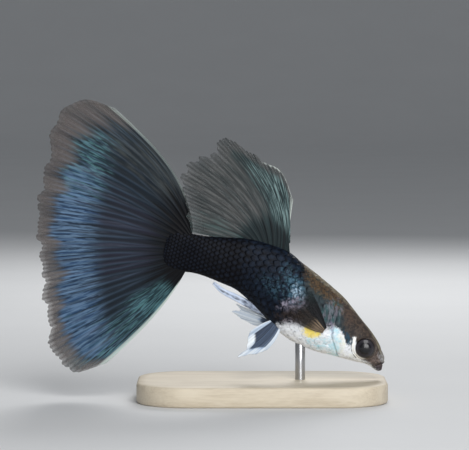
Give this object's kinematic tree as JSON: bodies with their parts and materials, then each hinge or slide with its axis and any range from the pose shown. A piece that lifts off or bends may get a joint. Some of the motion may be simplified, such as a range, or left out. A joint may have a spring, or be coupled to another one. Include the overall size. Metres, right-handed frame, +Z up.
{
  "type": "fancy guppy display model",
  "caption": "Life-size still model of a male fancy guppy, head down, with a wide fan tail and a raised dorsal fin, held by a rod on a flat display base.",
  "frame": {"origin": "centre of the flat underside of the display base", "axes": "+X toward the side the head points to, +Y to the fish's left side, +Z up; the fish's median plane is y = 0"},
  "size_m": [0.042, 0.018, 0.0363],
  "materials": {
    "skin": "satin, scaled, iridescent",
    "gill_cover": "silvery",
    "eye": "glossy, clear front",
    "dorsal_fin": "thin membrane, iridescent rays",
    "caudal_fin": "thin membrane, iridescent rays",
    "pectoral_fin": "smoky membrane",
    "pelvic_fin": "blue membrane, pale edge",
    "gonopodium": "pale blue, dark streaks",
    "stand_base": "satin oiled",
    "stand_rod": "fine brushed"
  },
  "bodies": {
    "root": {"head": "skin", "lower_jaw": "skin", "trunk": "skin", "tail_stalk": "skin", "gill_cover_left": "gill_cover", "gill_cover_right": "gill_cover", "eye_left": "eye", "eye_right": "eye", "dorsal_fin": "dorsal_fin", "caudal_fin": "caudal_fin", "pectoral_fin_left": "pectoral_fin", "pectoral_fin_right": "pectoral_fin", "pelvic_fin_left": "pelvic_fin", "pelvic_fin_right": "pelvic_fin", "gonopodium": "gonopodium", "stand_base": "stand_base", "stand_rod": "stand_rod"}
  },
  "joints": []
}
